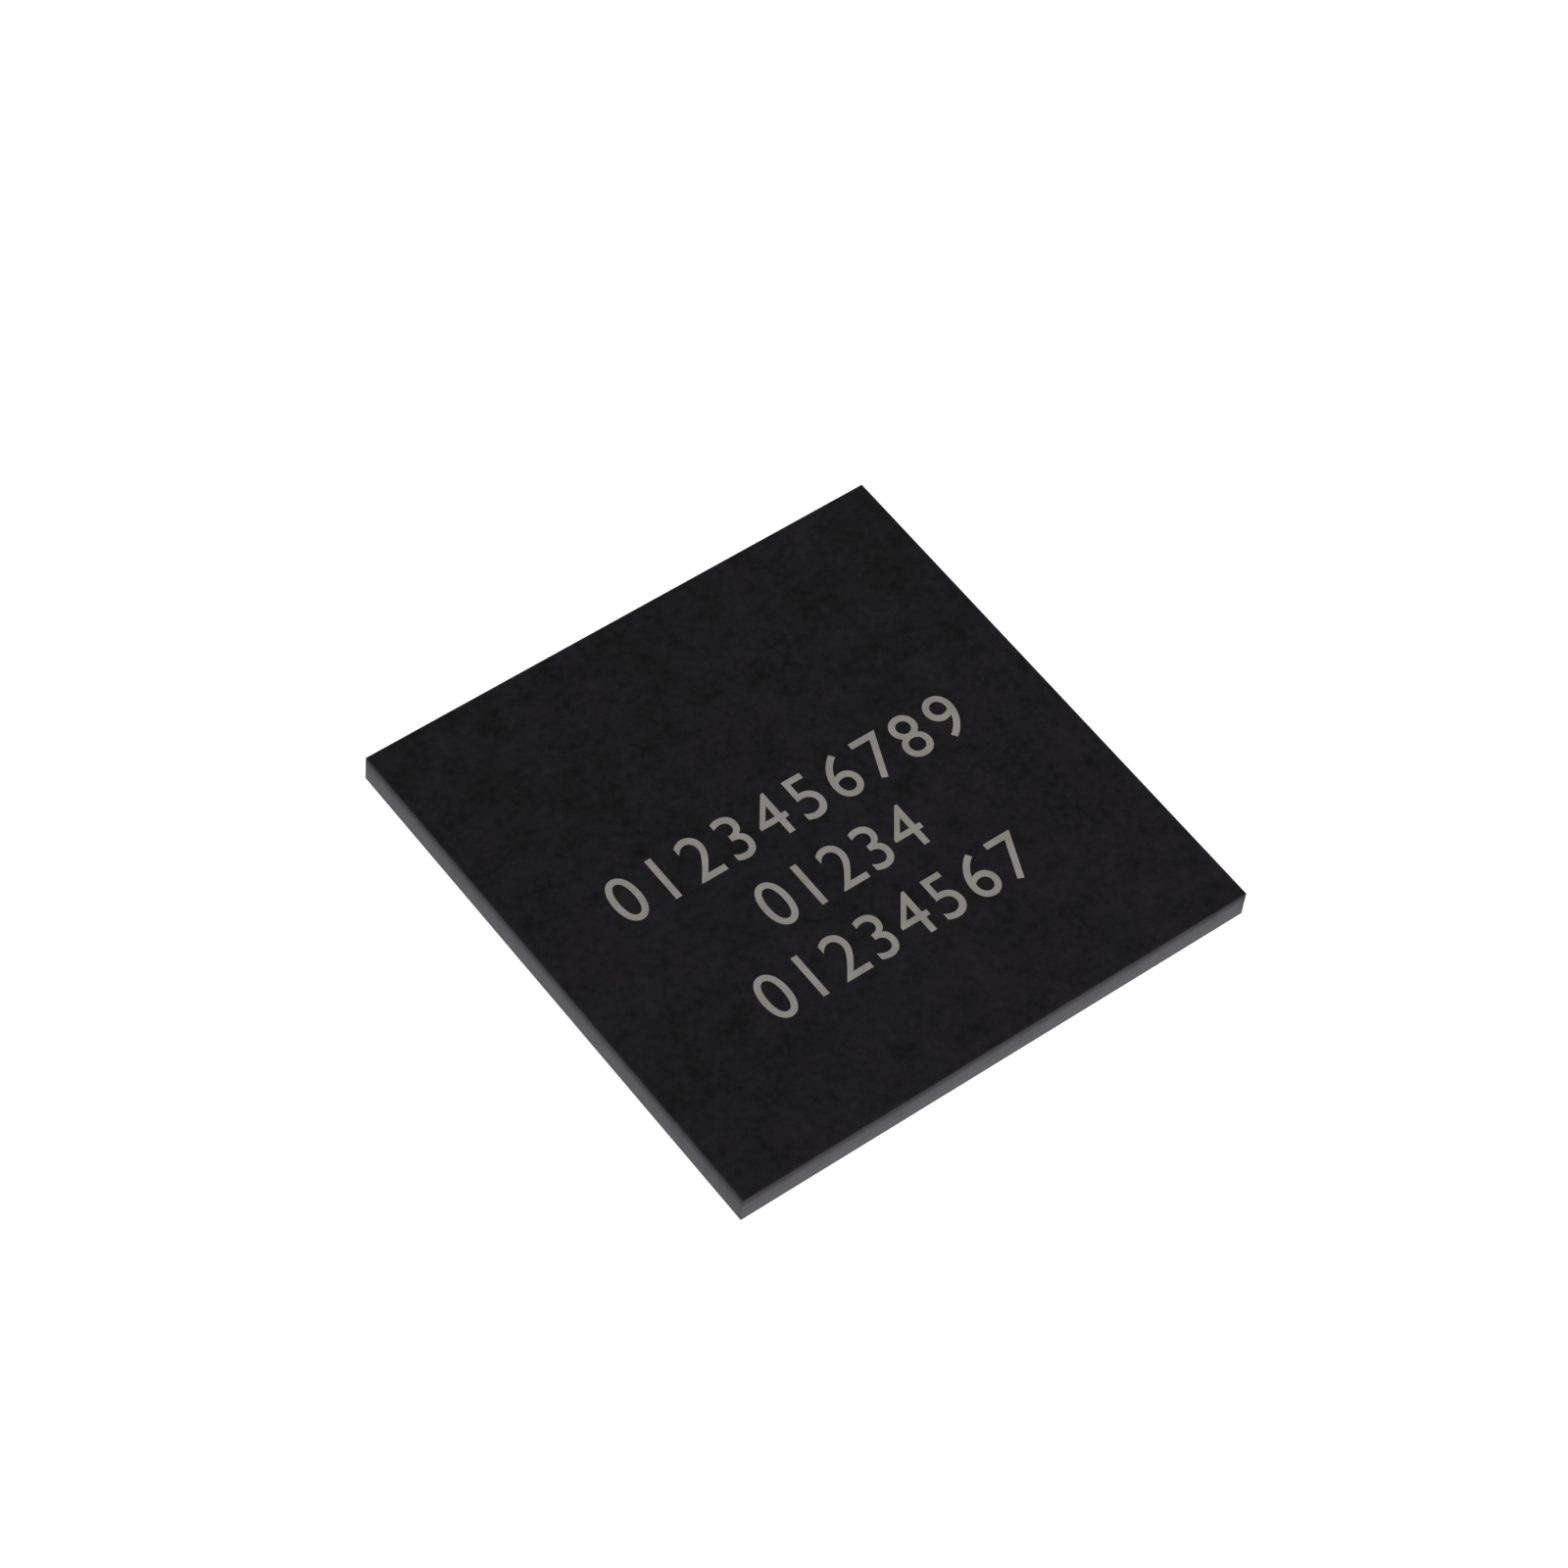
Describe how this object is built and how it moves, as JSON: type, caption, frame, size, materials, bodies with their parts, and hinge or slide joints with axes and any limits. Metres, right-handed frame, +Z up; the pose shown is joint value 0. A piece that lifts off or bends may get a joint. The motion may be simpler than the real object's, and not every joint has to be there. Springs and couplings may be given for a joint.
{
  "type": "ball grid array chip",
  "caption": "Square moulded chip package, thin and matte black on top, with a full grid of solder balls under its laminate.",
  "frame": {"origin": "under the middle of the package, on the plane of the ball tips", "axes": "+Z up through the moulded top, +X along a line of the marking on top, +Y up the marking, ball A1 at the -X +Y corner"},
  "size_m": [0.01, 0.01, 0.0009],
  "materials": {
    "mold_compound": "matte, faintly mottled, with a sawn edge",
    "silicon": "polished",
    "attach_film": "satin",
    "pad_aluminium": "satin",
    "gold": "polished",
    "solder_mask": "semi-gloss green",
    "copper": "satin",
    "laminate": "woven glass in resin",
    "solder": "satin solder"
  },
  "bodies": {
    "root": {"mold_cap": "mold_compound", "silicon_die": "silicon", "die_attach_film": "attach_film", "die_bond_pads": "pad_aluminium", "bond_wires_south": "gold", "bond_wires_east": "gold", "bond_wires_north": "gold", "bond_wires_west": "gold", "top_solder_mask": "solder_mask", "top_copper": "copper", "laminate_core": "laminate", "copper_vias": "copper", "bottom_copper": "copper", "bottom_solder_mask": "solder_mask", "solder_balls_row_a": "solder", "solder_balls_row_b": "solder", "solder_balls_row_c": "solder", "solder_balls_row_d": "solder", "solder_balls_row_e": "solder", "solder_balls_row_f": "solder", "solder_balls_row_g": "solder", "solder_balls_row_h": "solder", "solder_balls_row_j": "solder", "solder_balls_row_k": "solder", "solder_balls_row_l": "solder", "solder_balls_row_m": "solder"}
  },
  "joints": []
}
